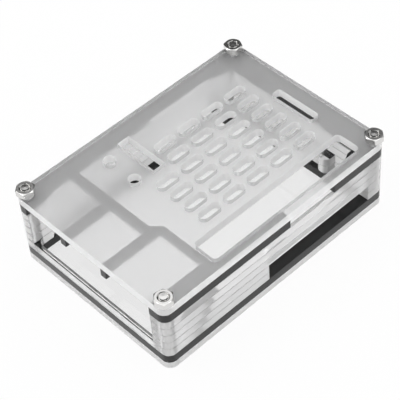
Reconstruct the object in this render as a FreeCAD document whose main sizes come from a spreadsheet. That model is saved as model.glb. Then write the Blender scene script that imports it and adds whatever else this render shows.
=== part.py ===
import FreeCAD, Part
import math
import os
import Sketcher

V = FreeCAD.Vector
doc = FreeCAD.newDocument("BoardCase")


# Driving dimensions in millimetres. The case is centred on X and Y and stands on Z = 0.
# +X is the card slot end, -X the plug-in port end, -Y the pin header side and +Y the video port side.
# A value whose name ends in "at" is a place along X or Y counted from the centre of the case, and
# one that ends in "inset" is counted inwards from the nearest outer edge.
DRIVING = {
    "case_length": 93.0,
    "case_width": 66.0,
    "case_corner_radius": 3.0,
    "sheet_thickness": 3.0,
    "base_thickness": 2.5,
    "sheet_gap": 0.1,
    "clear_corner_radius": 1.5,
    "screw_inset_along": 2.75,
    "screw_inset_across": 2.55,
    "screw_radius": 1.5,
    "screw_clearance": 0.1,
    "screw_end_above_nut": 0.3,
    "screw_end_chamfer": 0.3,
    "head_radius": 2.3,
    "head_clearance": 0.05,
    "key_flats": 2.0,
    "key_depth": 1.1,
    "nut_flats": 5.5,
    "nut_thickness": 2.4,
    "nut_turn_front_left": 50.0,
    "nut_turn_front_right": 51.0,
    "nut_turn_back_left": 41.0,
    "nut_turn_back_right": 5.0,
    "thread_clearance": 0.02,
    "ledge_back": 6.65,
    "ledge_front": 6.65,
    "ledge_right": 8.45,
    "ledge_rail": 1.3,
    "ledge_bay_length": 16.0,
    "ledge_relief_inset": 5.0,
    "ledge_notch_depth": 3.0,
    "card_slot_width": 12.0,
    "card_slot_at": 0.0,
    "wall_back": 4.2,
    "wall_front": 4.8,
    "wall_right": 6.65,
    "wall_rail": 1.5,
    "rail_corner_radius": 2.5,
    "post_back": 5.5,
    "post_front": 6.3,
    "post_length": 7.5,
    "post_slope": 1.5,
    "front_bridge": 1.15,
    "header_window_inset": 7.5,
    "header_window_length": 44.1,
    "port_window_inset": 12.0,
    "port_window_length": 27.0,
    "board_tab_at": -15.9,
    "board_tab_width": 4.8,
    "board_tab_reach": 4.05,
    "board_tab_radius": 2.2,
    "roof_back": 3.0,
    "roof_front": 4.5,
    "roof_right": 5.8,
    "roof_pad": 1.9,
    "roof_pad_length": 10.4,
    "roof_pad_slope": 3.5,
    "crossbar_inset": 17.8,
    "crossbar_width": 2.3,
    "crossbar_shift": 3.6,
    "crossbar_narrow": 1.7,
    "crossbar_step_at": -5.1,
    "crossbar_step_length": 3.2,
    "finger_width": 2.25,
    "back_finger_at": 10.85,
    "front_finger_at": -7.1,
    "roof_gap_inset": 23.1,
    "roof_gap_length": 19.1,
    "vent_length": 8.1,
    "vent_width": 3.4,
    "vent_first_column_at": -10.9,
    "vent_column_pitch": 10.1,
    "vent_columns": 5,
    "vent_short_columns": 4,
    "vent_first_row_at": -14.85,
    "vent_row_pitch": 6.04,
    "vent_long_rows": 4,
    "vent_short_rows": 2,
    "header_slot_inset": 8.4,
    "header_slot_length": 61.3,
    "header_slot_front_inset": 3.2,
    "header_slot_width": 9.15,
    "header_slot_radius": 1.5,
    "camera_slot_at": -8.85,
    "camera_slot_width": 4.5,
    "camera_slot_front_at": 9.25,
    "camera_slot_back_at": 25.8,
    "display_slot_inset": 7.83,
    "display_slot_width": 3.55,
    "display_slot_radius": 1.0,
    "display_slot_front_at": -10.8,
    "display_slot_back_at": 6.5,
    "pin_hole_radius": 2.0,
    "pin_hole_at": -17.4,
    "pin_hole_front_at": 11.05,
    "pin_hole_back_at": 22.3,
}

sheet = doc.addObject("Spreadsheet::Sheet", "Sizes")
for row, (alias, number) in enumerate(DRIVING.items(), start=1):
    sheet.set("A" + str(row), alias.replace("_", " "))
    sheet.set("B" + str(row), str(number))
    sheet.setAlias("B" + str(row), alias)
doc.recompute()


class Size:
    """A length: its number now, and the formula that keeps it tied to the cells of the sheet."""

    def __init__(self, number, formula):
        self.number = number
        self.formula = formula

    def joined(self, sign, other, number):
        return Size(number, "(" + self.formula + " " + sign + " " + as_size(other).formula + ")")

    def __add__(self, other):
        return self.joined("+", other, self.number + as_size(other).number)

    def __sub__(self, other):
        return self.joined("-", other, self.number - as_size(other).number)

    def __mul__(self, other):
        return self.joined("*", other, self.number * as_size(other).number)

    def __truediv__(self, other):
        return self.joined("/", other, self.number / as_size(other).number)

    def __neg__(self):
        return Size(-self.number, "(0 - " + self.formula + ")")


def as_size(value):
    return value if isinstance(value, Size) else Size(float(value), str(value))


def cell(alias):
    return Size(float(sheet.get(alias)), "Sizes." + alias)


ON_AXIS = Size(0.0, "0")
GROUND = Size(0.0, "0")

# The outer edges of every sheet, and where the four screws stand.
right_end = cell("case_length") / 2
left_end = -right_end
back_side = cell("case_width") / 2
front_side = -back_side
outer_radius = cell("case_corner_radius")
clear_radius = cell("clear_corner_radius")
screw_along = right_end - cell("screw_inset_along")
screw_across = back_side - cell("screw_inset_across")
screw_hole_radius = cell("screw_radius") + cell("screw_clearance")
CORNERS = {
    "front_left": (-screw_along, -screw_across),
    "front_right": (screw_along, -screw_across),
    "back_left": (-screw_along, screw_across),
    "back_right": (screw_along, screw_across),
}

# The stack, from the base up: one level for the underside of each sheet.
sheet_pitch = cell("sheet_thickness") + cell("sheet_gap")
ledge_level = cell("base_thickness") + cell("sheet_gap")


def stack_level(place):
    """Underside of the sheet that stands so many places above the ledge frame."""
    return ledge_level + sheet_pitch * place


CLEAR_FRAMES = 5
roof_level = stack_level(CLEAR_FRAMES + 1)
top_level = stack_level(CLEAR_FRAMES + 2)
nut_level = top_level + cell("sheet_thickness")


def origin_plane(body, role):
    return next(item for item in body.Origin.OriginFeatures if item.Role == role)


def new_sketch(body, name, role="XY_Plane"):
    sketch = body.newObject("Sketcher::SketchObject", name)
    sketch.AttachmentSupport = (origin_plane(body, role), [""])
    sketch.MapMode = "FlatFace"
    return sketch


def bound(sketch, kind, geometry, size):
    """Add one dimension to a sketch and bind it to the formula of its size."""
    index = sketch.addConstraint(Sketcher.Constraint(kind, *geometry, size.number))
    sketch.setExpression("Constraints[" + str(index) + "]", size.formula)


def pin_point(sketch, geometry, point, place):
    """Hold a point at its place from the origin of the sketch."""
    bound(sketch, "DistanceX", (-1, 1, geometry, point), place[0])
    bound(sketch, "DistanceY", (-1, 1, geometry, point), place[1])


def tangent_length(before, corner, after, radius):
    """How far a round corner eats into each of its two sides."""
    inward = (before - corner).normalize()
    outward = (after - corner).normalize()
    half_angle = inward.getAngle(outward) / 2
    return radius / math.tan(half_angle)


def draw_outline(sketch, corners):
    """Draw a closed outline. Each corner is its X, its Y and the radius that rounds it, or None."""
    places = [V(x.number, y.number, 0) for x, y, radius in corners]
    count = len(corners)
    starts = []
    ends = []
    for index, (x, y, radius) in enumerate(corners):
        here = places[index]
        before = places[index - 1]
        after = places[(index + 1) % count]
        if radius is None:
            starts.append(here)
            ends.append(here)
        else:
            reach = tangent_length(before, here, after, radius.number)
            ends.append(here + (before - here).normalize() * reach)
            starts.append(here + (after - here).normalize() * reach)
    lines = []
    for index in range(count):
        line = Part.LineSegment(starts[index], ends[(index + 1) % count])
        lines.append(sketch.addGeometry(line, False))
    for index, (x, y, radius) in enumerate(corners):
        line_in = lines[index - 1]
        line_out = lines[index]
        if radius is None:
            sketch.addConstraint(Sketcher.Constraint("Coincident", line_in, 2, line_out, 1))
            pin_point(sketch, line_out, 1, (x, y))
        else:
            round_corner(sketch, corners[index], line_in, line_out, ends[index], starts[index])


def round_corner(sketch, corner, line_in, line_out, arc_start, arc_end):
    """Join two lines with an arc, tangent to both, whose own sharp corner stays a construction point."""
    x, y, radius = corner
    here = V(x.number, y.number, 0)
    chord_middle = (arc_start + arc_end) / 2
    towards = (chord_middle - here).normalize()
    half_chord = (arc_end - arc_start).Length / 2
    reach = (arc_start - here).Length
    centre = here + towards * (reach * radius.number / half_chord)
    arc_middle = centre - towards * radius.number
    arc = sketch.addGeometry(Part.Arc(arc_start, arc_middle, arc_end), False)
    left_turn = (here - arc_start).cross(arc_end - here).z > 0
    arc_first, arc_last = (1, 2) if left_turn else (2, 1)
    point = sketch.addGeometry(Part.Point(here), True)
    pin_point(sketch, point, 1, (x, y))
    sketch.addConstraint(Sketcher.Constraint("PointOnObject", point, 1, line_in))
    sketch.addConstraint(Sketcher.Constraint("PointOnObject", point, 1, line_out))
    sketch.addConstraint(Sketcher.Constraint("Tangent", line_in, 2, arc, arc_first))
    sketch.addConstraint(Sketcher.Constraint("Tangent", line_out, 1, arc, arc_last))
    bound(sketch, "Radius", (arc,), radius)


def draw_hole(sketch, place, radius):
    circle = Part.Circle(V(place[0].number, place[1].number, 0), V(0, 0, 1), radius.number)
    index = sketch.addGeometry(circle, False)
    pin_point(sketch, index, 3, place)
    bound(sketch, "Radius", (index,), radius)


def box_outline(left, right, front, back, radius):
    return [(left, front, radius), (right, front, radius), (right, back, radius), (left, back, radius)]


def lift(body, level):
    body.setExpression("Placement.Base.z", level.formula)


def cut_sheet(name, level, thickness, outline, screw_corners, openings=()):
    """One laser-cut sheet: its outline with the screw holes and inner openings, as thick as the stock."""
    body = doc.addObject("PartDesign::Body", name)
    body.Label = name
    sketch = new_sketch(body, name + "_outline")
    draw_outline(sketch, outline)
    for corner in screw_corners:
        draw_hole(sketch, CORNERS[corner], screw_hole_radius)
    for opening in openings:
        draw_outline(sketch, opening)
    pad = body.newObject("PartDesign::Pad", name + "_sheet")
    pad.Profile = sketch
    pad.setExpression("Length", thickness.formula)
    body.Tip = pad
    lift(body, level)
    return body


# Corners that the outlines share.
OUTER_FRONT_LEFT = (left_end, front_side, outer_radius)
OUTER_FRONT_RIGHT = (right_end, front_side, outer_radius)
OUTER_BACK_RIGHT = (right_end, back_side, outer_radius)
OUTER_BACK_LEFT = (left_end, back_side, outer_radius)
full_outline = [OUTER_FRONT_LEFT, OUTER_FRONT_RIGHT, OUTER_BACK_RIGHT, OUTER_BACK_LEFT]

# The base: a whole frosted sheet whose four screw holes are countersunk from below.
def draw_countersink(sketch):
    """Half section of a screw hole beside its own axis: the 45 degree cone and the plain hole."""
    sink_radius = cell("head_radius") + cell("head_clearance")
    draw_outline(sketch, [
        (ON_AXIS, GROUND, None),
        (sink_radius, GROUND, None),
        (screw_hole_radius, sink_radius - screw_hole_radius, None),
        (screw_hole_radius, cell("base_thickness"), None),
        (ON_AXIS, cell("base_thickness"), None),
    ])


def origin_axis(body, role):
    return (origin_plane(body, role), [""])


base = cut_sheet("base_sheet", GROUND, cell("base_thickness"), full_outline, ())
sink_profile = new_sketch(base, "countersink_profile", "XZ_Plane")
draw_countersink(sink_profile)
sink_profile.setExpression("AttachmentOffset.Base.x", (-screw_along).formula)
sink_profile.setExpression("AttachmentOffset.Base.z", screw_across.formula)
countersink = base.newObject("PartDesign::Groove", "countersink")
countersink.Profile = sink_profile
countersink.ReferenceAxis = (sink_profile, ["V_Axis"])
countersink.Angle = 360.0
base.Tip = countersink
doc.recompute()
four_sinks = base.newObject("PartDesign::LinearPattern", "four_countersinks")
four_sinks.Originals = [countersink]
four_sinks.Direction = origin_axis(base, "X_Axis")
four_sinks.setExpression("Length", (screw_along * 2).formula)
four_sinks.Occurrences = 2
four_sinks.Direction2 = origin_axis(base, "Y_Axis")
four_sinks.setExpression("Length2", (screw_across * 2).formula)
four_sinks.Occurrences2 = 2
base.Tip = four_sinks

# The window through the video and power port side, which the ledge frame makes room for as well.
port_right = right_end - cell("port_window_inset")
port_left = port_right - cell("port_window_length")

# The ledge frame: a black ring that carries the board's edge, open at the card slot end. Under the
# port window it is narrowed from inside, clear of the ports' feet, and from outside, clear of the plugs.
# Beside the back plug-in bay it is as narrow as the clear posts that stand on it.
card_slot_front = cell("card_slot_at") - cell("card_slot_width") / 2
card_slot_back = cell("card_slot_at") + cell("card_slot_width") / 2
ledge_left = left_end + cell("ledge_rail")
ledge_right = right_end - cell("ledge_right")
ledge_front = front_side + cell("ledge_front")
ledge_back = back_side - cell("ledge_back")
relief_back = back_side - cell("ledge_relief_inset")
notch_back = back_side - cell("ledge_notch_depth")
bay_end = left_end + cell("ledge_bay_length")
post_back = back_side - cell("post_back")
rail_radius = cell("rail_corner_radius")
ledge_outline = [
    OUTER_FRONT_LEFT,
    OUTER_FRONT_RIGHT,
    (right_end, card_slot_front, None),
    (ledge_right, card_slot_front, None),
    (ledge_right, ledge_front, None),
    (ledge_left, ledge_front, rail_radius),
    (ledge_left, post_back, rail_radius),
    (bay_end, post_back, None),
    (bay_end, ledge_back, None),
    (port_left, ledge_back, None),
    (port_left, relief_back, None),
    (port_right, relief_back, None),
    (port_right, ledge_back, None),
    (ledge_right, ledge_back, None),
    (ledge_right, card_slot_back, None),
    (right_end, card_slot_back, None),
    OUTER_BACK_RIGHT,
    (port_right, back_side, None),
    (port_right, notch_back, None),
    (port_left, notch_back, None),
    (port_left, back_side, None),
    OUTER_BACK_LEFT,
]
thickness = cell("sheet_thickness")
cut_sheet("lower_black_frame", ledge_level, thickness, ledge_outline, CORNERS)

# The clear frames: walls round the board, thicker at the posts that the screws pass through. A tab on
# the card slot end of the second and third frames reaches over the board and keeps it down.
rail_inside = left_end + cell("wall_rail")
wall_front = front_side + cell("wall_front")
wall_back = back_side - cell("wall_back")
wall_right = right_end - cell("wall_right")
post_front = front_side + cell("post_front")
post_end = left_end + cell("post_length")
slope_end = post_end + cell("post_slope")
header_right = right_end - cell("header_window_inset")
header_left = header_right - cell("header_window_length")
bridge_inside = front_side + cell("front_bridge")
tab_front = cell("board_tab_at") - cell("board_tab_width") / 2
tab_back = cell("board_tab_at") + cell("board_tab_width") / 2
tab_tip = wall_right - cell("board_tab_reach")
tab_radius = cell("board_tab_radius")

FRONT_POST_INSIDE = [(slope_end, wall_front, None), (post_end, post_front, None)]
BACK_POST_INSIDE = [(post_end, post_back, None), (slope_end, wall_back, None)]
RIGHT_WALL_INSIDE = [(wall_right, wall_back, clear_radius), (wall_right, wall_front, None)]
TABBED_WALL_INSIDE = [
    (wall_right, wall_back, clear_radius),
    (wall_right, tab_back, None),
    (tab_tip, tab_back, tab_radius),
    (tab_tip, tab_front, tab_radius),
    (wall_right, tab_front, None),
    (wall_right, wall_front, None),
]
FRONT_POST_OUTSIDE = [(left_end, post_front, None)]
BACK_POST_OUTSIDE = [(left_end, post_back, None)]
RAIL_INSIDE = [(rail_inside, post_front, rail_radius), (rail_inside, post_back, rail_radius)]
HEADER_LEFT_CUT = [(header_left, front_side, None), (header_left, wall_front, None)]
HEADER_RIGHT_CUT = [(header_right, wall_front, None), (header_right, front_side, None)]
HEADER_BRIDGE = [
    (header_right, wall_front, None),
    (header_right, bridge_inside, None),
    (header_left, bridge_inside, None),
    (header_left, wall_front, None),
]
PORT_RIGHT_CUT = [(port_right, back_side, None), (port_right, wall_back, None)]
PORT_LEFT_CUT = [(port_left, wall_back, None), (port_left, back_side, None)]

front_left_piece = [OUTER_FRONT_LEFT] + HEADER_LEFT_CUT + FRONT_POST_INSIDE + FRONT_POST_OUTSIDE
back_left_piece = BACK_POST_OUTSIDE + BACK_POST_INSIDE + PORT_LEFT_CUT + [OUTER_BACK_LEFT]
right_piece = [OUTER_FRONT_RIGHT, OUTER_BACK_RIGHT] + PORT_RIGHT_CUT + TABBED_WALL_INSIDE + HEADER_RIGHT_CUT
railed_ring = (
    [OUTER_FRONT_LEFT] + HEADER_LEFT_CUT + FRONT_POST_INSIDE + RAIL_INSIDE + BACK_POST_INSIDE
    + RIGHT_WALL_INSIDE + HEADER_RIGHT_CUT + [OUTER_FRONT_RIGHT, OUTER_BACK_RIGHT, OUTER_BACK_LEFT]
)
bridged_front = (
    [OUTER_FRONT_LEFT, OUTER_FRONT_RIGHT, OUTER_BACK_RIGHT] + PORT_RIGHT_CUT + TABBED_WALL_INSIDE
    + HEADER_BRIDGE + FRONT_POST_INSIDE + FRONT_POST_OUTSIDE
)
open_ring = (
    [OUTER_FRONT_LEFT, OUTER_FRONT_RIGHT, OUTER_BACK_RIGHT, OUTER_BACK_LEFT] + BACK_POST_OUTSIDE
    + BACK_POST_INSIDE + RIGHT_WALL_INSIDE + HEADER_BRIDGE + FRONT_POST_INSIDE + FRONT_POST_OUTSIDE
)
RIGHT_CORNERS = ("front_right", "back_right")
FRONT_AND_RIGHT = ("front_left",) + RIGHT_CORNERS
CLEAR_PIECES = [
    ("clear_frame_1", 1, railed_ring, CORNERS),
    ("clear_frame_2_right", 2, right_piece, RIGHT_CORNERS),
    ("clear_frame_2_front_left", 2, front_left_piece, ("front_left",)),
    ("clear_frame_2_back_left", 2, back_left_piece, ("back_left",)),
    ("clear_frame_3", 3, bridged_front, FRONT_AND_RIGHT),
    ("clear_frame_3_back_left", 3, back_left_piece, ("back_left",)),
    ("clear_frame_4", 4, open_ring, CORNERS),
    ("clear_frame_5", 5, open_ring, CORNERS),
]
for name, place, outline, corners in CLEAR_PIECES:
    cut_sheet(name, stack_level(place), thickness, outline, corners)

# The roof frame: black, with a crossbar and two fingers that part the three plug-in port bays.
roof_front = front_side + cell("roof_front")
roof_back = back_side - cell("roof_back")
roof_right = right_end - cell("roof_right")
pad_front = roof_front + cell("roof_pad")
pad_back = roof_back - cell("roof_pad")
left_pad_end = left_end + cell("roof_pad_length")
right_pad_end = right_end - cell("roof_pad_length")
pad_slope = cell("roof_pad_slope")
bar_outer = left_end + cell("crossbar_inset")
bar_inner = bar_outer + cell("crossbar_width")
narrow_outer = bar_outer + cell("crossbar_shift")
narrow_inner = narrow_outer + cell("crossbar_narrow")
half_finger = cell("finger_width") / 2
back_finger = cell("back_finger_at")
front_finger = cell("front_finger_at")
step_back = cell("crossbar_step_at")
step_front = step_back - cell("crossbar_step_length")
gap_right = right_end - cell("roof_gap_inset")
gap_left = gap_right - cell("roof_gap_length")
roof_outline = [
    OUTER_FRONT_LEFT,
    (gap_left, front_side, None),
    (gap_left, roof_front, None),
    (narrow_inner, roof_front, None),
    (narrow_inner, step_front, None),
    (bar_inner, step_back, None),
    (bar_inner, roof_back, None),
    (right_pad_end - pad_slope, roof_back, None),
    (right_pad_end, pad_back, None),
    (roof_right, pad_back, None),
    (roof_right, pad_front, None),
    (right_pad_end, pad_front, None),
    (right_pad_end - pad_slope, roof_front, None),
    (gap_right, roof_front, None),
    (gap_right, front_side, None),
    OUTER_FRONT_RIGHT,
    OUTER_BACK_RIGHT,
    OUTER_BACK_LEFT,
    (left_end, pad_back, None),
    (left_pad_end, pad_back, None),
    (left_pad_end + pad_slope, roof_back, None),
    (bar_outer, roof_back, None),
    (bar_outer, back_finger + half_finger, None),
    (left_end, back_finger + half_finger, None),
    (left_end, back_finger - half_finger, None),
    (bar_outer, back_finger - half_finger, None),
    (bar_outer, front_finger + half_finger, None),
    (left_end, front_finger + half_finger, None),
    (left_end, front_finger - half_finger, None),
    (narrow_outer, front_finger - half_finger, None),
    (narrow_outer, pad_front, None),
    (left_end, pad_front, None),
]
cut_sheet("upper_black_frame", roof_level, thickness, roof_outline, CORNERS)

# The top: a frosted sheet with the pin header opening, the ribbon slots, two holes and the vents.
slot_right = right_end - cell("header_slot_inset")
slot_front = front_side + cell("header_slot_front_inset")
header_opening = box_outline(
    slot_right - cell("header_slot_length"), slot_right,
    slot_front, slot_front + cell("header_slot_width"), cell("header_slot_radius"))
half_camera = cell("camera_slot_width") / 2
camera_opening = box_outline(
    cell("camera_slot_at") - half_camera, cell("camera_slot_at") + half_camera,
    cell("camera_slot_front_at"), cell("camera_slot_back_at"), None)


def draw_slot(sketch, start, end, half_width):
    """Draw a slot with round ends between the centres of its two ends."""
    first = V(start[0].number, start[1].number, 0)
    last = V(end[0].number, end[1].number, 0)
    along = (last - first).normalize()
    across = V(-along.y, along.x, 0) * half_width.number
    reach = along * half_width.number
    near_arc = sketch.addGeometry(Part.Arc(first + across, first - reach, first - across), False)
    far_arc = sketch.addGeometry(Part.Arc(last - across, last + reach, last + across), False)
    left_side = sketch.addGeometry(Part.LineSegment(last + across, first + across), False)
    right_side = sketch.addGeometry(Part.LineSegment(first - across, last - across), False)
    for line, line_end, arc, arc_end in (
            (left_side, 2, near_arc, 1), (right_side, 1, near_arc, 2),
            (right_side, 2, far_arc, 1), (left_side, 1, far_arc, 2)):
        sketch.addConstraint(Sketcher.Constraint("Tangent", line, line_end, arc, arc_end))
    pin_point(sketch, near_arc, 3, start)
    pin_point(sketch, far_arc, 3, end)
    bound(sketch, "Radius", (near_arc,), half_width)


display_at = right_end - cell("display_slot_inset")
half_display = cell("display_slot_width") / 2
display_opening = box_outline(
    display_at - half_display, display_at + half_display,
    cell("display_slot_front_at"), cell("display_slot_back_at"), cell("display_slot_radius"))
top_openings = (header_opening, camera_opening, display_opening)
top = cut_sheet("top_sheet", top_level, thickness, full_outline, CORNERS, top_openings)
doc.recompute()


def vent_rows(name, columns, first_column, first_row, rows):
    """Cut one column of vents through the top and repeat it along X."""
    sketch = new_sketch(top, name + "_column")
    half_width = cell("vent_width") / 2
    half_straight = cell("vent_length") / 2 - half_width
    for row in range(rows):
        across = first_row + cell("vent_row_pitch") * row
        start = (first_column - half_straight, across)
        end = (first_column + half_straight, across)
        draw_slot(sketch, start, end, half_width)
    pocket = top.newObject("PartDesign::Pocket", name + "_cut")
    pocket.Profile = sketch
    pocket.Type = "ThroughAll"
    pocket.Reversed = True
    top.Tip = pocket
    doc.recompute()
    pattern = top.newObject("PartDesign::LinearPattern", name + "_rows")
    pattern.Originals = [pocket]
    pattern.Direction = origin_axis(top, "X_Axis")
    pattern.Occurrences = columns
    pattern.setExpression("Length", (cell("vent_column_pitch") * (columns - 1)).formula)
    top.Tip = pattern
    doc.recompute()


long_rows = int(cell("vent_long_rows").number)
short_rows = int(cell("vent_short_rows").number)
all_columns = int(cell("vent_columns").number)
short_columns = int(cell("vent_short_columns").number)
skipped = all_columns - short_columns
first_column = cell("vent_first_column_at")
first_row = cell("vent_first_row_at")
vent_rows("front_vents", all_columns, first_column, first_row, long_rows)
vent_rows("back_vents", short_columns, first_column + cell("vent_column_pitch") * skipped,
          first_row + cell("vent_row_pitch") * long_rows, short_rows)

pin_holes = new_sketch(top, "pin_holes")
for place in ("pin_hole_front_at", "pin_hole_back_at"):
    draw_hole(pin_holes, (cell("pin_hole_at"), cell(place)), cell("pin_hole_radius"))
pin_pocket = top.newObject("PartDesign::Pocket", "pin_holes_cut")
pin_pocket.Profile = pin_holes
pin_pocket.Type = "ThroughAll"
pin_pocket.Reversed = True
top.Tip = pin_pocket


def stand_at(body, corner, level):
    body.setExpression("Placement.Base.x", CORNERS[corner][0].formula)
    body.setExpression("Placement.Base.y", CORNERS[corner][1].formula)
    lift(body, level)


def turned(body, name, profile):
    """Revolve a half section about the screw's own axis."""
    sketch = new_sketch(body, name + "_profile", "XZ_Plane")
    draw_outline(sketch, profile)
    revolution = body.newObject("PartDesign::Revolution", name + "_turned")
    revolution.Profile = sketch
    revolution.ReferenceAxis = (sketch, ["V_Axis"])
    revolution.Angle = 360.0
    body.Tip = revolution
    return revolution


def draw_hexagon(sketch, flats):
    """Draw a hexagon on a construction circle, with one corner on the X axis of the sketch."""
    corner_radius = flats / (2 * math.cos(math.pi / 6))
    circle = sketch.addGeometry(Part.Circle(V(0, 0, 0), V(0, 0, 1), corner_radius.number), True)
    sketch.addConstraint(Sketcher.Constraint("Coincident", circle, 3, -1, 1))
    bound(sketch, "Radius", (circle,), corner_radius)
    points = [V(corner_radius.number, 0, 0)]
    for index in range(5):
        turn = math.radians(60 * (index + 1))
        points.append(V(math.cos(turn), math.sin(turn), 0) * corner_radius.number)
    sides = [sketch.addGeometry(Part.LineSegment(points[i - 1], points[i]), False) for i in range(6)]
    for index, side in enumerate(sides):
        following = sides[(index + 1) % 6]
        sketch.addConstraint(Sketcher.Constraint("Coincident", side, 2, following, 1))
        sketch.addConstraint(Sketcher.Constraint("PointOnObject", side, 2, circle))
        if index:
            sketch.addConstraint(Sketcher.Constraint("Equal", sides[0], side))
    sketch.addConstraint(Sketcher.Constraint("PointOnObject", sides[1], 1, -1))


# Four countersunk screws from below, each with a hexagon key socket in its head.
screw_end = nut_level + cell("nut_thickness") + cell("screw_end_above_nut")
for corner in CORNERS:
    screw = doc.addObject("PartDesign::Body", "screw_" + corner)
    screw.Label = "screw_" + corner
    shank = cell("screw_radius")
    head = cell("head_radius")
    chamfer = cell("screw_end_chamfer")
    turned(screw, "screw_" + corner, [
        (ON_AXIS, GROUND, None),
        (head, GROUND, None),
        (shank, head - shank, None),
        (shank, screw_end - chamfer, None),
        (shank - chamfer, screw_end, None),
        (ON_AXIS, screw_end, None),
    ])
    socket_sketch = new_sketch(screw, "socket_" + corner)
    draw_hexagon(socket_sketch, cell("key_flats"))
    socket = screw.newObject("PartDesign::Pocket", "socket_cut_" + corner)
    socket.Profile = socket_sketch
    socket.Reversed = True
    socket.setExpression("Length", cell("key_depth").formula)
    screw.Tip = socket
    stand_at(screw, corner, GROUND)

# Four hexagon nuts on the top sheet.
for corner in CORNERS:
    nut = doc.addObject("PartDesign::Body", "nut_" + corner)
    nut.Label = "nut_" + corner
    nut_sketch = new_sketch(nut, "hexagon_" + corner)
    draw_hexagon(nut_sketch, cell("nut_flats"))
    bore_radius = cell("screw_radius") + cell("thread_clearance")
    draw_hole(nut_sketch, (ON_AXIS, GROUND), bore_radius)
    nut_pad = nut.newObject("PartDesign::Pad", "nut_pad_" + corner)
    nut_pad.Profile = nut_sketch
    nut_pad.setExpression("Length", cell("nut_thickness").formula)
    nut.Tip = nut_pad
    stand_at(nut, corner, nut_level)
    nut.setExpression("Placement.Rotation.Angle", cell("nut_turn_" + corner).formula + " * 1 deg")
doc.recompute()


def check_and_write():
    """Stop on any failed object, then write one file for each body."""
    for item in doc.Objects:
        if "Invalid" in item.State or "Error" in item.State:
            raise RuntimeError("failed object: " + item.Name)
    bodies = [item for item in doc.Objects if item.TypeId == "PartDesign::Body"]
    for body in bodies:
        if body.Shape.isNull() or not body.Shape.isValid():
            raise RuntimeError("bad shape: " + body.Label)
        if len(body.Shape.Solids) != 1:
            raise RuntimeError("not one solid: " + body.Label)
    os.makedirs("parts", exist_ok=True)
    for body in bodies:
        body.Shape.exportStep("parts/" + body.Label + ".step")
    return len(bodies)


print("pieces written:", check_and_write())
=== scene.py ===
import math

import bpy
import numpy as np
from mathutils import Matrix, Vector


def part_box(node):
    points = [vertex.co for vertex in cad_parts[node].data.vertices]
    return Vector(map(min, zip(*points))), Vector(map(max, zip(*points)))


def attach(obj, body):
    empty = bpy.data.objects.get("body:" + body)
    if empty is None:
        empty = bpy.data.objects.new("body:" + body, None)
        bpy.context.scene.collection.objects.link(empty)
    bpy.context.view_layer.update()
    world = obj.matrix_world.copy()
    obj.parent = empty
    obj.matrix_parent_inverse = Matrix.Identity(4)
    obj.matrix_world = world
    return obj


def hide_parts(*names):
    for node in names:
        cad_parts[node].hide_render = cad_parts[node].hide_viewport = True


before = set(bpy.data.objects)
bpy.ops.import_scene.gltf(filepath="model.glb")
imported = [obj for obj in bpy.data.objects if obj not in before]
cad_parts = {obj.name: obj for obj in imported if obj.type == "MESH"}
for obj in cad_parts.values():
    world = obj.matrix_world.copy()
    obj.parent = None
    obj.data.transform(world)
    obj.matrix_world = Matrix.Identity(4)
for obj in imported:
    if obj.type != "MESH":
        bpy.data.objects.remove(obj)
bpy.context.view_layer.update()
MM = 0.001
CORNERS = ("front_left", "front_right", "back_left", "back_right")
FULL_TURN = 2 * math.pi
SIXTH_TURN = math.pi / 3


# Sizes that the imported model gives, in metres.
def node_box(name):
    """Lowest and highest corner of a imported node's box."""
    low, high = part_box(name)
    return np.array(low), np.array(high)


def screw_centre(corner):
    """Axis of a corner's screw in plan: the middle of its box."""
    low, high = node_box("screw_" + corner)
    return (low + high)[:2] / 2


TOP_LEVEL = node_box("top_sheet")[1][2]

# How a packed sheet is read, in metres: what still counts as its upper face, and the grid that merges points
# with one place in plan.
TOP_TOLERANCE = 1e-6
MERGE_GRID = 1e-7

# Soft cut edges: radius in metres, steps of each quarter round, and the least half cosine of a mitre.
EDGE_RADIUS = 0.05 * MM
EDGE_STEPS = 2
MITRE_LIMIT = 0.35

# Thread of the screws and nuts: sizes in metres, then how much steeper than a zigzag its flanks are, and how
# much of that is cut off at the root and at the crest.
THREAD_RADIUS = 1.5 * MM
THREAD_PITCH = 0.5 * MM
THREAD_DEPTH = 0.22 * MM
THREAD_STEEPNESS = 1.6
THREAD_FLAT = 0.3
ROWS_PER_PITCH = 8

# Screws: columns round, then in metres the key socket, the head's rim, the neck, the length over which the
# thread deepens, and the tiny ring that closes both ends.
SCREW_COLUMNS = 48
SOCKET_FLATS = 2.0 * MM
SOCKET_DEPTH = 1.1 * MM
SOCKET_CONE = 0.3 * MM
SINK_RIM = 0.04 * MM
PLAIN_NECK = 0.3 * MM
THREAD_RUN_OUT = 1.0 * MM
END_RING = 0.001 * MM

# Screw ends, in metres: the chamfer and where the thread stops, then the very flat cone inside the chamfer,
# its number of rings and the angle of the first one in radians.
SCREW_END_CHAMFER = 0.30 * MM
CHAMFER_HEIGHT = 1.3 * SCREW_END_CHAMFER
CHAMFER_ARRIS = 0.05 * MM
THREAD_STOP = 1.6 * SCREW_END_CHAMFER
END_RISE = 0.035 * MM
END_RINGS = 5
END_FIRST_ANGLE = 0.25

# The base's screw holes, in metres: points of the sheet within the reach belong to a hole. The edge step is
# the share of the edge radius at the middle row of the upper edge.
HOLE_RADIUS = 1.6 * MM
HOLE_REACH = 2.0 * MM
HEAD_GAP = 0.05 * MM
HOLE_EDGE_STEP = 0.3

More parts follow.
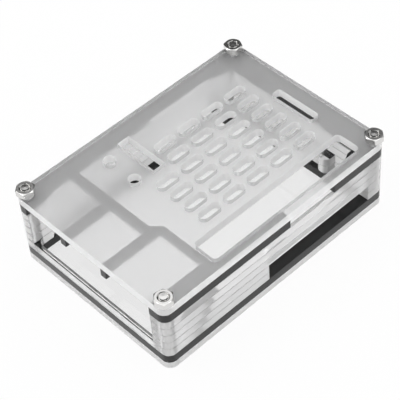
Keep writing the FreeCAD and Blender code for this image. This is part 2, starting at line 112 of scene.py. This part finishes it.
# Nuts: sizes in metres, the face as a share of the half width, the places of the columns as shares of a side,
# and the spread of a rounded corner in radians.
NUT_FACE_SHARE = 0.955
NUT_CHAMFER_SLOPE = math.tan(math.radians(30.0))
NUT_BORE_SINK = 0.42 * MM
NUT_BORE_GAP = 0.02 * MM
NUT_ARRIS_HEIGHT = 0.05 * MM
NUT_ARRIS_INSET = 0.01 * MM
NUT_CORNER_ROUND = 0.05 * MM
NUT_CORNER_SPREAD = 0.03
NUT_CORNER_SHARES = (0.0, 0.012, 0.024)
NUT_SIDE_SHARES = (0.04, 0.96)
NUT_SIDE_COLUMNS = 14

# Smooth shading bridges edges up to these angles, in degrees.
PLATE_SMOOTH_ANGLE = 20.0
SCREW_SMOOTH_ANGLE = 40.0
NUT_SMOOTH_ANGLE = 24.0

# Finishes: refraction of acrylic, bump height in metres, how striae are drawn out along Z, the detail of both
# noises, how far roughness swings on clear faces (as a share) and on matte ones, and the darkest share of a
# matte face's tint.
ACRYLIC_IOR = 1.49
BUMP_HEIGHT = 0.004 * MM
STRIAE_SQUASH = (1.0, 1.0, 0.06)
STRIAE_DETAIL = 2.0
GRAIN_DETAIL = 3.0
CLEAR_SWING = 0.3
MATTE_SWING = 0.03
MATTE_DARKEST = 0.97

# The studio: a bright softbox overhead, whose edge is given by the sine of its elevation, and a darker
# room round it. The strengths are those that each kind of ray meets.
SOFTBOX_EDGE_LOW = 0.69
SOFTBOX_EDGE_HIGH = 0.79
SOFTBOX_IN_GLOSS = 1.3
ROOM_IN_GLOSS = 0.08
DIFFUSE_SKY = 0.98
PLAIN_WHITE = 1.0

# Lamps: name, place in metres, side in metres and power in watts.
LAMPS = (
    ("key_lamp", (-0.5, 0.7, 1.1), 1.2, 5.0),
    ("fill_lamp", (0.8, -0.5, 0.9), 1.2, 2.0),
)

# The floor: half its side and its gap under the case in metres, and how much it glows where it is seen.
FLOOR_HALF = 3.0
FLOOR_GAP = 0.02 * MM
FLOOR_GLOW = 0.94

# The camera, as fitted to the photograph: angles in degrees, place and near limit in metres, the rest in mm.
CAMERA_AZIMUTH = -40.32
CAMERA_ELEVATION = 47.03
CAMERA_ROLL = -4.87
CAMERA_PLACE = Vector((-200.79, -234.63, 316.53)) * MM + Vector((0.0, 0.0, TOP_LEVEL))
CAMERA_NEAR = 0.01
CAMERA_LENS = 131.7
CAMERA_SENSOR = 36.0


def make_mesh(name, points, faces, materials, smooth_angle, face_materials=None):
    """A mesh object from an array of points and a list of faces, smooth across gentle edges only."""
    mesh = bpy.data.meshes.new(name)
    mesh.from_pydata(points.reshape(-1, 3).tolist(), [], faces)
    for material in materials:
        mesh.materials.append(material)
    if face_materials is not None:
        mesh.polygons.foreach_set("material_index", face_materials.astype(np.int32))
    mesh.validate()
    mesh.update()
    mesh.shade_smooth()
    mesh.set_sharp_from_angle(angle=math.radians(smooth_angle))
    piece = bpy.data.objects.new(name, mesh)
    bpy.context.scene.collection.objects.link(piece)
    return piece


# Cut sheets.
def read_cap(name):
    """Upper face of a CAD sheet: its points in plan, its triangles, and the two heights of the sheet."""
    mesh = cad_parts[name].data
    places = np.empty(len(mesh.vertices) * 3)
    mesh.vertices.foreach_get("co", places)
    places = places.reshape(-1, 3)
    mesh.calc_loop_triangles()
    corners = np.empty(len(mesh.loop_triangles) * 3, dtype=np.int64)
    mesh.loop_triangles.foreach_get("vertices", corners)
    corners = corners.reshape(-1, 3)
    low, high = places[:, 2].min(), places[:, 2].max()
    on_top = (places[corners][:, :, 2] > high - TOP_TOLERANCE).all(axis=1)
    cells = np.round(places[:, :2] / MERGE_GRID).astype(np.int64)
    cells, merged = np.unique(cells, axis=0, return_inverse=True)
    used, triangles = np.unique(merged.reshape(-1)[corners[on_top]], return_inverse=True)
    return cells[used] * MERGE_GRID, triangles.reshape(-1, 3), low, high


def rim_of(plan, triangles):
    """Directed edges round a flat face that only one triangle has: material lies on their left."""
    edges = np.concatenate([triangles[:, [0, 1]], triangles[:, [1, 2]], triangles[:, [2, 0]]])
    width = len(plan)
    forward = edges[:, 0] * width + edges[:, 1]
    backward = edges[:, 1] * width + edges[:, 0]
    return edges[~np.isin(forward, backward)]


def mitred_normals(plan, rim):
    """Inward direction at each rim point, long enough to move both its edges in by one unit.

    It is the sum of the inward normals of the point's two edges, made one long and divided by the cosine of
    half the angle between them. That cosine is half the length of the sum.
    """
    along = plan[rim[:, 1]] - plan[rim[:, 0]]
    along /= np.linalg.norm(along, axis=1)[:, None]
    inward = np.stack([-along[:, 1], along[:, 0]], axis=1)
    summed = np.zeros_like(plan)
    np.add.at(summed, rim[:, 0], inward)
    np.add.at(summed, rim[:, 1], inward)
    length = np.linalg.norm(summed, axis=1)
    length[length == 0] = 1.0
    unit = summed / length[:, None]
    half_cosine = np.clip(length / 2, MITRE_LIMIT, 1.0)
    return unit / half_cosine[:, None]


def rounded_profile(low, high):
    """Edge profile from the lower face to the upper: a quarter round, the straight wall, a quarter round.

    The inset is the radius times one less the sine of the angle, the rise the same with the cosine.
    """
    angle = np.linspace(0.0, math.pi / 2, EDGE_STEPS + 1)
    inset = EDGE_RADIUS * (1 - np.sin(angle))
    rise = EDGE_RADIUS * (1 - np.cos(angle))
    lower = np.stack([inset, low + rise], axis=1)
    upper = np.stack([inset[::-1], high - rise[::-1]], axis=1)
    return np.concatenate([lower, upper])


def sunk_profile():
    """Profile of the base's screw holes from the lower face up: rim, cone, plain hole and upper edge.

    An inset is how much wider the radius is than the plain hole's. There are as many rows as in
    rounded_profile.
    """
    low, high = node_box("base_sheet")
    head_low, head_high = node_box("screw_front_left")
    step = (head_high[0] - head_low[0]) / 2 + HEAD_GAP - HOLE_RADIUS
    edge_step = EDGE_RADIUS * HOLE_EDGE_STEP
    rows = [
        (step, low[2]),
        (step, low[2] + SINK_RIM),
        (0.0, low[2] + SINK_RIM + step),
        (0.0, high[2] - EDGE_RADIUS),
        (edge_step, high[2] - edge_step),
        (EDGE_RADIUS, high[2]),
    ]
    return np.array(rows)


def plate(name, materials):
    """One cut sheet with soft edges: the CAD sheet's own plan, its rim carried up a rounded profile.

    Each rim point moves inwards by the profile's inset along its mitred normal, so walls stay parallel.
    Faces get material 0 on the upper face, 1 on the walls and 2 on the lower face.
    """
    plan, triangles, low, high = read_cap(name)
    rim = rim_of(plan, triangles)
    inward = mitred_normals(plan, rim)
    profile = rounded_profile(low, high)
    rows = len(profile)
    size = len(plan)
    inset = np.repeat(profile[:, :1], size, axis=1)
    level = np.repeat(profile[:, 1:], size, axis=1)
    if name == "base_sheet":
        sunk = sunk_profile()
        for corner in CORNERS:
            at_hole = np.linalg.norm(plan - screw_centre(corner), axis=1) < HOLE_REACH
            inset[:, at_hole] = sunk[:, :1]
            level[:, at_hole] = sunk[:, 1:]
    points = np.empty((rows, size, 3))
    points[:, :, :2] = plan + inset[:, :, None] * inward
    points[:, :, 2] = level
    start, end = rim[:, 0], rim[:, 1]
    strip = np.stack([start, end, end + size, start + size], axis=1)
    walls = np.concatenate([strip + row * size for row in range(rows - 1)])
    top = triangles + (rows - 1) * size
    bottom = triangles[:, ::-1]
    faces = top.tolist() + walls.tolist() + bottom.tolist()
    kinds = np.repeat([0, 1, 2], [len(top), len(walls), len(bottom)])
    return make_mesh(name + "_cut", points, faces, materials, PLATE_SMOOTH_ANGLE, kinds)


# Screws and nuts.
def turned_points(centre, turns, rows):
    """Points of a turned form from its rows, each a radius and a level that may differ from turn to turn."""
    radii = np.array([np.broadcast_to(radius, turns.shape) for radius, level in rows])
    levels = np.array([np.broadcast_to(level, turns.shape) for radius, level in rows])
    return np.stack([centre[0] + radii * np.cos(turns), centre[1] + radii * np.sin(turns), levels], axis=-1)


def grid_faces(rows, columns):
    """Quads over a grid of points whose columns run round and whose rows run along."""
    base = np.arange(rows - 1)[:, None] * columns
    column = np.arange(columns)
    following = (column + 1) % columns
    above = base + columns
    quads = np.stack([base + column, base + following, above + following, above + column], axis=-1)
    return quads.reshape(-1, 4)


def from_side_middle(turns, corner_turn):
    """Angle of each turn from the middle of the hexagon side that it crosses."""
    return (turns - corner_turn) % SIXTH_TURN - SIXTH_TURN / 2


def thread_cut(levels, turns):
    """What the thread takes off the radius at each level and turn.

    The phase is the level in pitches less the share of the turn, so the helix rises by one pitch in a turn.
    A zigzag over the phase is made steeper and cut off at root and crest, which leaves a flat at both.
    """
    phase = levels[:, None] / THREAD_PITCH - turns / FULL_TURN
    zigzag = 1 - np.abs(2 * (phase % 1.0) - 1)
    crest = np.clip(zigzag * THREAD_STEEPNESS - THREAD_FLAT, 0.0, 1.0)
    return THREAD_DEPTH * (1 - crest)


def screw_piece(corner, material):
    """Countersunk screw: radius as a function of turn and height, with a helix cut into the shank.

    The rows run from the floor of the key socket round the head and up to the middle of the end. The end's
    rings go by one less the sine of an angle that grows to a right angle: their radius and their drop below
    the top are in proportion to it.
    """
    low, high = node_box("screw_" + corner)
    head = (high[0] - low[0]) / 2
    turns = np.linspace(0, FULL_TURN, SCREW_COLUMNS, endpoint=False)
    socket = SOCKET_FLATS / 2 / np.cos(from_side_middle(turns, 0.0))
    cone_top = low[2] + (SINK_RIM + head - THREAD_RADIUS)
    shank_low = cone_top + PLAIN_NECK
    heights = np.arange(shank_low, high[2] - THREAD_STOP, THREAD_PITCH / ROWS_PER_PITCH)
    run_out = np.clip((heights - shank_low) / THREAD_RUN_OUT, 0, 1)[:, None]
    shank = THREAD_RADIUS - thread_cut(heights, turns) * run_out
    ease = 1.0 - np.sin(np.linspace(END_FIRST_ANGLE, math.pi / 2, END_RINGS))
    end_radii = (THREAD_RADIUS - SCREW_END_CHAMFER) * ease / ease[0]
    rows = [
        (END_RING, low[2] + SOCKET_DEPTH + SOCKET_CONE),
        (socket, low[2] + SOCKET_DEPTH),
        (socket, low[2] + SINK_RIM),
        (socket + SINK_RIM, low[2]),
        (head - SINK_RIM, low[2]),
        (head, low[2] + SINK_RIM),
        (THREAD_RADIUS, cone_top),
        *zip(shank, heights),
        (THREAD_RADIUS - CHAMFER_ARRIS, high[2] - CHAMFER_HEIGHT),
        *zip(np.maximum(end_radii, END_RING), high[2] - END_RISE * ease),
    ]
    faces = grid_faces(len(rows), SCREW_COLUMNS).tolist()
    first_ring = list(range(SCREW_COLUMNS))
    last = (len(rows) - 1) * SCREW_COLUMNS
    faces.append(first_ring[::-1])
    faces.append([last + index for index in first_ring])
    points = turned_points(screw_centre(corner), turns, rows)
    piece = make_mesh("threaded_screw_" + corner, points, faces, [material], SCREW_SMOOTH_ANGLE)
    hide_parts("screw_" + corner)
    return piece


def nut_piece(corner, material):
    """Hexagon nut: radius of the hexagon as a function of turn, its corners turned off by a cone.

    The hexagon's radius is half its width over the cosine of the angle from the side's middle. The cone
    drops by its slope times what the radius is larger than the flat face's. The rows run from the bore's
    upper sink over the face and down the sides, and back up the threaded bore.
    """
    low, high = node_box("nut_" + corner)
    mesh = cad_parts["nut_" + corner].data
    places = np.array([vertex.co for vertex in mesh.vertices])
    centre = screw_centre(corner)
    offsets = places[:, :2] - centre
    reach = np.linalg.norm(offsets, axis=1)
    widest = int(np.argmax(reach))
    corner_turn = math.atan2(offsets[widest, 1], offsets[widest, 0])
    half_width = reach[widest] * math.cos(SIXTH_TURN / 2)

    near_corner = np.array(NUT_CORNER_SHARES)
    along_side = np.linspace(*NUT_SIDE_SHARES, NUT_SIDE_COLUMNS, endpoint=False)
    shares = np.concatenate([near_corner, along_side, 1 - near_corner[:0:-1]])
    turns = np.concatenate([corner_turn + (side + shares) * SIXTH_TURN for side in range(6)])
    from_middle = from_side_middle(turns, corner_turn)
    to_corner = SIXTH_TURN / 2 - np.abs(from_middle)
    rounding = NUT_CORNER_ROUND * np.clip(1 - to_corner / NUT_CORNER_SPREAD, 0, 1) ** 2
    hexagon = half_width / np.cos(from_middle) - rounding
    face = half_width * NUT_FACE_SHARE
    drop = np.maximum(hexagon - face, 0) * NUT_CHAMFER_SLOPE

    thickness = high[2] - low[2]
    bore_rows = int(thickness / THREAD_PITCH * ROWS_PER_PITCH)
    bore_levels = np.linspace(low[2] + NUT_BORE_SINK, high[2] - NUT_BORE_SINK, bore_rows)
    bore_radii = THREAD_RADIUS + NUT_BORE_GAP - thread_cut(bore_levels, turns)
    sink = THREAD_RADIUS + NUT_BORE_SINK
    rows = [
        (sink, high[2]),
        (face, high[2]),
        ((face + hexagon) / 2, high[2] - drop / 2),
        (hexagon - NUT_ARRIS_INSET, high[2] - drop),
        (hexagon, high[2] - drop - NUT_ARRIS_HEIGHT),
        (hexagon, low[2] + drop + NUT_ARRIS_HEIGHT),
        (hexagon - NUT_ARRIS_INSET, low[2] + drop),
        (face, low[2]),
        (sink, low[2]),
        *zip(bore_radii, bore_levels),
        (sink, high[2]),
    ]
    faces = grid_faces(len(rows), len(turns))[:, ::-1].tolist()
    points = turned_points(centre, turns, rows)
    piece = make_mesh("finished_nut_" + corner, points, faces, [material], NUT_SMOOTH_ANGLE)
    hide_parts("nut_" + corner)
    return piece


# Helpers for shader nodes.
def feed(links, socket, value):
    """Set a socket to a plain number, or link it to another node's output."""
    if isinstance(value, (int, float)):
        socket.default_value = value
    else:
        links.new(value, socket)


def math_node(nodes, links, operation, first, second=None, clamp=False):
    """Result of one arithmetic step on numbers or outputs."""
    node = nodes.new("ShaderNodeMath")
    node.operation = operation
    node.use_clamp = clamp
    feed(links, node.inputs[0], first)
    if second is not None:
        feed(links, node.inputs[1], second)
    return node.outputs[0]


def ramp_between(nodes, links, factor, low, high):
    """Map a 0 to 1 value to the range from low to high."""
    node = nodes.new("ShaderNodeMapRange")
    node.inputs["To Min"].default_value = low
    node.inputs["To Max"].default_value = high
    links.new(factor, node.inputs["Value"])
    return node.outputs["Result"]


def switch_value(nodes, links, choice, otherwise, chosen):
    """The chosen value where the choice is 1, and otherwise the other."""
    node = nodes.new("ShaderNodeMix")
    links.new(choice, node.inputs["Factor"])
    feed(links, node.inputs["A"], otherwise)
    feed(links, node.inputs["B"], chosen)
    return node.outputs["Result"]


def shade_between(nodes, links, factor, low, high):
    """The first colour where the factor is 0, the second where it is 1, and their mix between."""
    node = nodes.new("ShaderNodeMix")
    node.data_type = "RGBA"
    node.inputs["A"].default_value = (*low, 1.0)
    node.inputs["B"].default_value = (*high, 1.0)
    links.new(factor, node.inputs["Factor"])
    return node.outputs["Result"]


def noise_value(nodes, links, vector, size, detail):
    """Noise from 0 to 1, whose scale is one over the size of its spots."""
    noise = nodes.new("ShaderNodeTexNoise")
    noise.inputs["Detail"].default_value = detail
    links.new(vector, noise.inputs["Vector"])
    links.new(math_node(nodes, links, "DIVIDE", 1.0, size), noise.inputs["Scale"])
    return noise.outputs["Fac"]


# Shared effects, as node groups.
def new_group(name, inputs, outputs):
    """An empty node group with number sockets: its inputs have a start value each."""
    group = bpy.data.node_groups.new(name, "ShaderNodeTree")
    for label, value in inputs:
        socket = group.interface.new_socket(label, in_out="INPUT", socket_type="NodeSocketFloat")
        socket.default_value = value
    for label in outputs:
        group.interface.new_socket(label, in_out="OUTPUT", socket_type="NodeSocketFloat")
    nodes = group.nodes
    return group, nodes.new("NodeGroupInput"), nodes.new("NodeGroupOutput")


def cut_edge_group():
    """Laser-cut wall: a mask that is 1 on upright walls, and fine upright striae as a height.

    The mask is one less the size of the normal's Z part. The striae are noise drawn out along Z, times the
    mask and the unevenness.
    """
    group, entry, exit_node = new_group(
        "laser_cut_edge",
        [("Striae Width", 0.35 * MM), ("Unevenness", 0.5)],
        ["Wall Mask", "Height"])
    nodes, links = group.nodes, group.links
    geometry = nodes.new("ShaderNodeNewGeometry")
    split = nodes.new("ShaderNodeSeparateXYZ")
    links.new(geometry.outputs["True Normal"], split.inputs[0])
    upright = math_node(nodes, links, "ABSOLUTE", split.outputs["Z"])
    mask = math_node(nodes, links, "SUBTRACT", 1.0, upright, clamp=True)
    place = nodes.new("ShaderNodeTexCoord").outputs["Object"]
    squash = nodes.new("ShaderNodeVectorMath")
    squash.operation = "MULTIPLY"
    squash.inputs[1].default_value = STRIAE_SQUASH
    links.new(place, squash.inputs[0])
    striae = noise_value(nodes, links, squash.outputs[0], entry.outputs["Striae Width"], STRIAE_DETAIL)
    height = math_node(nodes, links, "MULTIPLY", striae, mask)
    height = math_node(nodes, links, "MULTIPLY", height, entry.outputs["Unevenness"])
    links.new(mask, exit_node.inputs["Wall Mask"])
    links.new(height, exit_node.inputs["Height"])
    return group


def grain_group():
    """Even grain of a given size, as a height from 0 to 1."""
    group, entry, exit_node = new_group("matte_grain", [("Grain Size", 0.15 * MM)], ["Height"])
    nodes, links = group.nodes, group.links
    place = nodes.new("ShaderNodeTexCoord").outputs["Object"]
    grain = noise_value(nodes, links, place, entry.outputs["Grain Size"], GRAIN_DETAIL)
    links.new(grain, exit_node.inputs["Height"])
    return group


CUT_EDGE = cut_edge_group()
GRAIN = grain_group()


# Materials.
def start_material(name, **settings):
    """A material with one Principled shader, whose plain values sit on the shader's own sockets."""
    material = bpy.data.materials.new(name)
    material.use_nodes = True
    shader = material.node_tree.nodes["Principled BSDF"]
    for label, value in settings.items():
        shader.inputs[label.replace("_", " ")].default_value = value
    return material, material.node_tree.nodes, material.node_tree.links, shader


def place_group(nodes, group, **settings):
    """The outputs of a shared effect, placed in a material with its own values."""
    node = nodes.new("ShaderNodeGroup")
    node.node_tree = group
    for label, value in settings.items():
        node.inputs[label.replace("_", " ")].default_value = value
    return node.outputs


def vary_roughness(nodes, links, shader, factor, low, high):
    """Roughness from low to high as the factor goes from 0 to 1."""
    links.new(ramp_between(nodes, links, factor, low, high), shader.inputs["Roughness"])


def add_bump(nodes, links, shader, height):
    """Slight relief from a height of 0 to 1."""
    bump = nodes.new("ShaderNodeBump")
    bump.inputs["Distance"].default_value = BUMP_HEIGHT
    bump.inputs["Strength"].default_value = 1.0
    links.new(height, bump.inputs["Height"])
    links.new(bump.outputs["Normal"], shader.inputs["Normal"])


def clear_face(name, tint, roughness):
    """Polished face of a clear sheet, whose polish differs a little over a few millimetres."""
    material, nodes, links, shader = start_material(
        name, Base_Color=(*tint, 1.0), Metallic=0.0, IOR=ACRYLIC_IOR, Transmission_Weight=1.0)
    grain = place_group(nodes, GRAIN, Grain_Size=6.0 * MM)
    smoothest, roughest = roughness * (1 - CLEAR_SWING), roughness * (1 + CLEAR_SWING)
    vary_roughness(nodes, links, shader, grain["Height"], smoothest, roughest)
    return material


def cut_wall(name, tint, clear_share, smoothest, roughest):
    """Laser-cut wall of a clear sheet: a little milky, with fine upright striae in its roughness alone."""
    material, nodes, links, shader = start_material(
        name, Base_Color=(*tint, 1.0), Metallic=0.0, IOR=ACRYLIC_IOR, Transmission_Weight=clear_share)
    edge = place_group(nodes, CUT_EDGE, Striae_Width=0.5 * MM, Unevenness=1.0)
    vary_roughness(nodes, links, shader, edge["Height"], smoothest, roughest)
    return material


def matte_underside(name, tint, roughness, clear_share):
    """Matte face of a frosted sheet: part of the light scatters back white, the rest passes and blurs."""
    material, nodes, links, shader = start_material(
        name, Metallic=0.0, IOR=ACRYLIC_IOR, Transmission_Weight=clear_share)
    grain = place_group(nodes, GRAIN, Grain_Size=0.12 * MM)
    darker = [value * MATTE_DARKEST for value in tint]
    shade = shade_between(nodes, links, grain["Height"], darker, tint)
    links.new(shade, shader.inputs["Base Color"])
    vary_roughness(nodes, links, shader, grain["Height"], roughness - MATTE_SWING, roughness + MATTE_SWING)
    add_bump(nodes, links, shader, grain["Height"])
    return material


def black_acrylic():
    """Black cast acrylic: deep gloss on the faces, satin striae on the cut walls."""
    material, nodes, links, shader = start_material(
        "black_acrylic", Metallic=0.0, IOR=ACRYLIC_IOR, Specular_IOR_Level=0.3)
    edge = place_group(nodes, CUT_EDGE, Striae_Width=0.3 * MM, Unevenness=0.5)
    face_colour, wall_colour = (0.012, 0.012, 0.012), (0.018, 0.018, 0.018)
    shade = shade_between(nodes, links, edge["Wall Mask"], face_colour, wall_colour)
    links.new(shade, shader.inputs["Base Color"])
    vary_roughness(nodes, links, shader, edge["Wall Mask"], low=0.08, high=0.14)
    add_bump(nodes, links, shader, edge["Height"])
    return material


def plated_steel():
    """Bright nickel plate with a fine grain and small differences in polish."""
    material, nodes, links, shader = start_material(
        "plated_steel", Base_Color=(0.70, 0.695, 0.685, 1.0), Metallic=1.0)
    grain = place_group(nodes, GRAIN, Grain_Size=0.35 * MM)
    vary_roughness(nodes, links, shader, grain["Height"], low=0.06, high=0.16)
    add_bump(nodes, links, shader, grain["Height"])
    return material


CLEAR = clear_face("clear_acrylic_face", tint=(0.998, 0.998, 0.998), roughness=0.01)
CLEAR_WALL = cut_wall("clear_acrylic_cut_wall", tint=(0.995, 0.995, 0.995),
                      clear_share=0.71, smoothest=0.17, roughest=0.23)
FROST_CLEAR = clear_face("frosted_sheet_clear_side", tint=(0.998, 0.998, 0.998), roughness=0.03)
FROST_WALL = cut_wall("frosted_sheet_cut_wall", tint=(0.995, 0.995, 0.995),
                      clear_share=0.50, smoothest=0.30, roughest=0.38)
FROST_MATTE = matte_underside("frosted_sheet_matte_side", tint=(0.995, 0.995, 0.998),
                              roughness=0.36, clear_share=0.51)
BASE_MATTE = matte_underside("base_sheet_matte_side", tint=(0.88, 0.88, 0.88),
                             roughness=0.25, clear_share=0.95)
BLACK = black_acrylic()
STEEL = plated_steel()


# The pieces.
def sheet_finish(name):
    """Materials of a sheet's upper face, walls and lower face, and its slot."""
    if name == "top_sheet":
        return [FROST_CLEAR, FROST_WALL, FROST_MATTE], "frosted_sheet"
    if name == "base_sheet":
        return [FROST_CLEAR, FROST_WALL, BASE_MATTE], "frosted_sheet"
    if "black" in name:
        return [BLACK, BLACK, BLACK], "black_sheet"
    return [CLEAR, CLEAR_WALL, CLEAR], "clear_sheet"


def build_sheets():
    """Every sheet with soft cut edges, in the finish of its kind."""
    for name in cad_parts:
        if name.startswith(("screw", "nut")):
            continue
        materials, slot = sheet_finish(name)
        piece = plate(name, materials)
        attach(piece, "root")
        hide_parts(name)


def build_fasteners():
    """The screw and the nut of each corner."""
    for corner in CORNERS:
        for piece in (screw_piece(corner, STEEL), nut_piece(corner, STEEL)):
            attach(piece, "root")


# The studio.
def seen_share(nodes, links):
    """1 for rays that see the backdrop itself: from the camera, off gloss or through the acrylic."""
    rays = nodes.new("ShaderNodeLightPath").outputs
    direct = math_node(nodes, links, "ADD", rays["Is Camera Ray"], rays["Is Glossy Ray"], clamp=True)
    return math_node(nodes, links, "ADD", direct, rays["Is Transmission Ray"], clamp=True)


def build_floor():
    """A plain pale floor, nearly white where it is seen, which keeps a faint shadow."""
    material, nodes, links, shader = start_material(
        "pale_floor", Base_Color=(0.8, 0.8, 0.8, 1.0), Roughness=0.9)
    glow = nodes.new("ShaderNodeEmission")
    glow.inputs["Color"].default_value = (1.0, 1.0, 1.0, 1.0)
    mix = nodes.new("ShaderNodeMixShader")
    share = math_node(nodes, links, "MULTIPLY", seen_share(nodes, links), FLOOR_GLOW)
    links.new(share, mix.inputs[0])
    links.new(shader.outputs[0], mix.inputs[1])
    links.new(glow.outputs[0], mix.inputs[2])
    links.new(mix.outputs[0], nodes["Material Output"].inputs["Surface"])
    corners = np.array([(-1, -1, 0), (1, -1, 0), (1, 1, 0), (-1, 1, 0)]) * FLOOR_HALF
    floor = make_mesh("floor", corners, [(0, 1, 2, 3)], [material], PLATE_SMOOTH_ANGLE)
    floor.location.z = -FLOOR_GAP


def build_sky():
    """Studio sky by kind of ray: even for matte faces, a softbox for gloss, plain white for what is seen.

    In gloss the strength rises from the room's to the softbox's as the sine of the ray's elevation passes
    the softbox's edge.
    """
    world = bpy.data.worlds.new("studio")
    bpy.context.scene.world = world
    world.use_nodes = True
    nodes, links = world.node_tree.nodes, world.node_tree.links
    sky = nodes["Background"]
    sky.inputs["Color"].default_value = (1.0, 1.0, 1.0, 1.0)
    rays = nodes.new("ShaderNodeLightPath").outputs
    direction = nodes.new("ShaderNodeTexCoord")
    split = nodes.new("ShaderNodeSeparateXYZ")
    links.new(direction.outputs["Generated"], split.inputs[0])
    overhead = nodes.new("ShaderNodeMapRange")
    overhead.interpolation_type = "SMOOTHSTEP"
    overhead.inputs["From Min"].default_value = SOFTBOX_EDGE_LOW
    overhead.inputs["From Max"].default_value = SOFTBOX_EDGE_HIGH
    links.new(split.outputs["Z"], overhead.inputs["Value"])
    in_gloss = ramp_between(nodes, links, overhead.outputs["Result"], ROOM_IN_GLOSS, SOFTBOX_IN_GLOSS)
    strength = switch_value(nodes, links, rays["Is Glossy Ray"], DIFFUSE_SKY, in_gloss)
    backdrop = math_node(nodes, links, "MAXIMUM", rays["Is Camera Ray"], rays["Is Transmission Ray"])
    strength = switch_value(nodes, links, backdrop, strength, PLAIN_WHITE)
    links.new(strength, sky.inputs["Strength"])


def build_lamps():
    """Large square lamps above the case, each turned to the origin."""
    for label, place, size, power in LAMPS:
        lamp = bpy.data.lights.new(label, "AREA")
        lamp.shape = "SQUARE"
        lamp.size = size
        lamp.energy = power
        holder = bpy.data.objects.new(label, lamp)
        holder.location = place
        holder.rotation_mode = "QUATERNION"
        holder.rotation_quaternion = (-Vector(place)).to_track_quat("-Z", "Y")
        bpy.context.scene.collection.objects.link(holder)


def build_camera():
    """The photograph's camera from its azimuth, elevation and roll.

    Its back points from the case to the camera. Level and upward are square to it, and the roll turns them
    into the picture's right and up.
    """
    azimuth = math.radians(CAMERA_AZIMUTH)
    elevation = math.radians(CAMERA_ELEVATION)
    roll = math.radians(CAMERA_ROLL)
    flat_reach = math.cos(elevation)
    back = Vector((math.sin(azimuth) * flat_reach, -math.cos(azimuth) * flat_reach, math.sin(elevation)))
    level = Vector((math.cos(azimuth), math.sin(azimuth), 0.0))
    upward = back.cross(level)
    right = level * math.cos(roll) + upward * math.sin(roll)
    up = upward * math.cos(roll) - level * math.sin(roll)
    data = bpy.data.cameras.new("camera")
    data.lens = CAMERA_LENS
    data.sensor_width = CAMERA_SENSOR
    data.clip_start = CAMERA_NEAR
    camera = bpy.data.objects.new("camera", data)
    camera.matrix_world = Matrix((
        (right.x, up.x, back.x, CAMERA_PLACE.x),
        (right.y, up.y, back.y, CAMERA_PLACE.y),
        (right.z, up.z, back.z, CAMERA_PLACE.z),
        (0.0, 0.0, 0.0, 1.0)))
    bpy.context.scene.collection.objects.link(camera)
    bpy.context.scene.camera = camera


def set_light_paths():
    """Enough bounces for light to cross the whole stack of clear sheets."""
    cycles = bpy.context.scene.cycles
    cycles.max_bounces = 32
    cycles.transmission_bounces = 32
    cycles.glossy_bounces = 24
    cycles.diffuse_bounces = 6


build_sheets()
build_fasteners()
build_floor()
build_sky()
build_lamps()
build_camera()
set_light_paths()
bpy.context.scene.view_settings.view_transform = "Standard"
